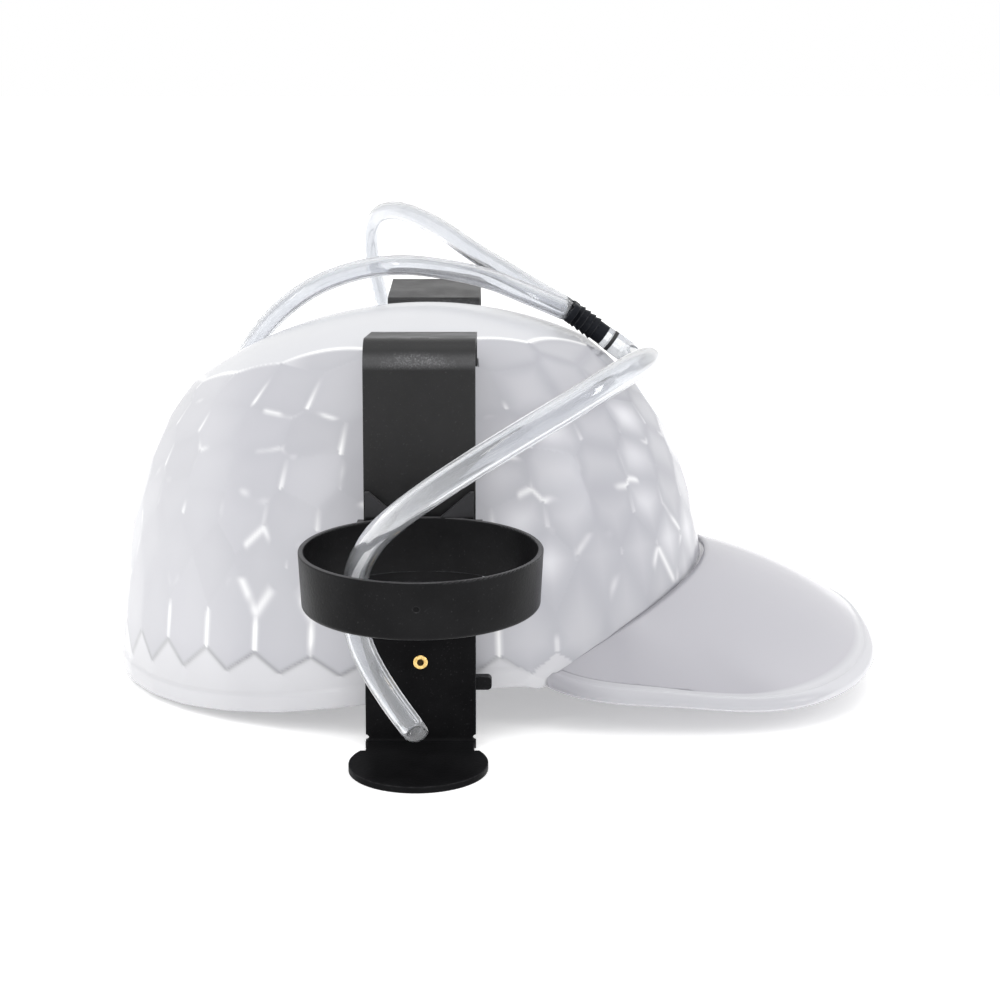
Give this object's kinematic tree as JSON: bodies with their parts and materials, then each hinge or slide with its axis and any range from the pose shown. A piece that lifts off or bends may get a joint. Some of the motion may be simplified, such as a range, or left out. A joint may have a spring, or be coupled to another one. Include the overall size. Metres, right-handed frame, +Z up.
{
  "type": "drinking cap",
  "caption": "Clear faceted hard cap with a curved visor, a sliding ring holder for a drinks can on each side, and clear drinking hoses joined by a connector on the crown.",
  "frame": {"origin": "on the floor, under the middle of the cap without its hoses", "axes": "+X forward to the visor, +Y to the wearer's left, +Z up"},
  "size_m": [0.272, 0.4501, 0.1604],
  "materials": {
    "clear_shell": "clear, slightly milky moulded polystyrene",
    "black_strap": "satin black moulded plastic, worn at the bends",
    "black_moulding": "satin black moulded plastic",
    "brass_eyelet": "bright brass",
    "clear_hose": "clear flexible vinyl",
    "clear_fitting": "clear moulded plastic",
    "black_gasket": "black rubber",
    "black_tie": "black plastic tie",
    "soft_valve": "soft milky silicone"
  },
  "bodies": {
    "cap": {"cap_shell": "clear_shell", "right_holder_strap": "black_strap", "left_holder_strap": "black_strap", "right_rim_clip": "black_moulding", "left_rim_clip": "black_moulding", "right_holder_eyelet": "brass_eyelet", "left_holder_eyelet": "brass_eyelet", "right_eyelet_washer": "brass_eyelet", "left_eyelet_washer": "brass_eyelet", "right_can_tube": "clear_hose", "left_can_tube": "clear_hose", "mouth_tube": "clear_hose", "mouth_tube_coil": "clear_hose", "coil_tie": "black_tie", "valve_collar": "black_moulding", "bite_valve": "soft_valve", "connector_barrel": "black_moulding", "connector_seal": "clear_fitting", "connector_gasket": "black_gasket", "connector_elbow": "clear_fitting"},
    "right_ring": {"right_can_ring": "black_moulding"},
    "left_ring": {"left_can_ring": "black_moulding"}
  },
  "joints": [
    {"name": "right_ring_slide", "type": "slide", "parent": "cap", "child": "right_ring", "axis": [0, 0, 1], "range_m": [-0.02, 0]},
    {"name": "left_ring_slide", "type": "slide", "parent": "cap", "child": "left_ring", "axis": [0, 0, 1], "range_m": [-0.02, 0]}
  ]
}
